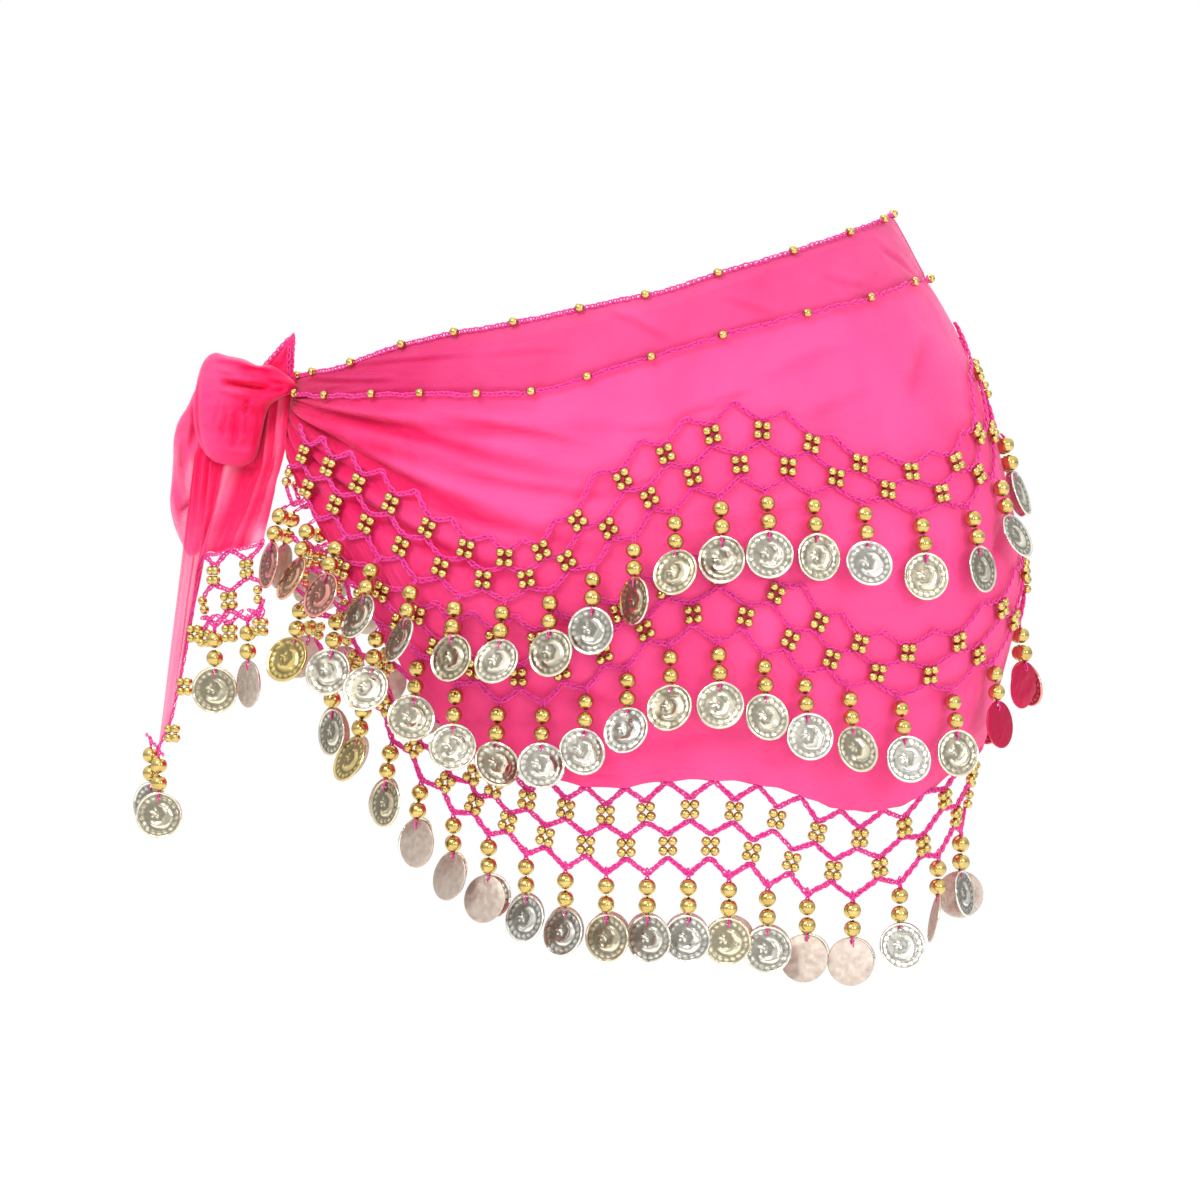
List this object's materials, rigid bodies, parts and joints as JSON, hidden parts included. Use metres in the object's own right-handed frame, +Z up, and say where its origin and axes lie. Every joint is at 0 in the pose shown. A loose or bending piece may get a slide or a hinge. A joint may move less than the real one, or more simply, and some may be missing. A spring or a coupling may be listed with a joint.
{
  "type": "belly dance hip scarf",
  "caption": "Worn chiffon hip scarf tied at one hip, with crocheted bead nets and rows of beads and coins, hollow for the hips.",
  "frame": {"origin": "middle of the wearer's waist opening, level with the middle of the front top edge", "axes": "+Z up, -Y the wearer's front as shown, -X the hip where the scarf is tied"},
  "size_m": [0.3892, 0.2724, 0.3258],
  "materials": {
    "chiffon": "sheer matte weave",
    "band_chiffon": "double sheer weave",
    "crochet_thread": "twisted thread",
    "gilt_and_coin_metal": "bright"
  },
  "bodies": {
    "root": {"waistband_front": "band_chiffon", "panel_front": "chiffon", "top_edging_front": "crochet_thread", "seam_edging_front": "crochet_thread", "net_row_1_front": "crochet_thread", "fringe_row_1_front": "gilt_and_coin_metal", "net_row_2_front": "crochet_thread", "fringe_row_2_front": "gilt_and_coin_metal", "net_row_3_front": "crochet_thread", "fringe_row_3_front": "gilt_and_coin_metal", "waistband_back": "band_chiffon", "panel_back": "chiffon", "top_edging_back": "crochet_thread", "seam_edging_back": "crochet_thread", "net_row_1_back": "crochet_thread", "fringe_row_1_back": "gilt_and_coin_metal", "net_row_2_back": "crochet_thread", "fringe_row_2_back": "gilt_and_coin_metal", "net_row_3_back": "crochet_thread", "fringe_row_3_back": "gilt_and_coin_metal", "knot_lobe": "chiffon", "knot_loop": "chiffon", "short_end": "chiffon", "tail_panel": "chiffon", "tail_net": "crochet_thread", "tail_fringe": "gilt_and_coin_metal", "tip_fringe": "gilt_and_coin_metal"}
  },
  "joints": []
}
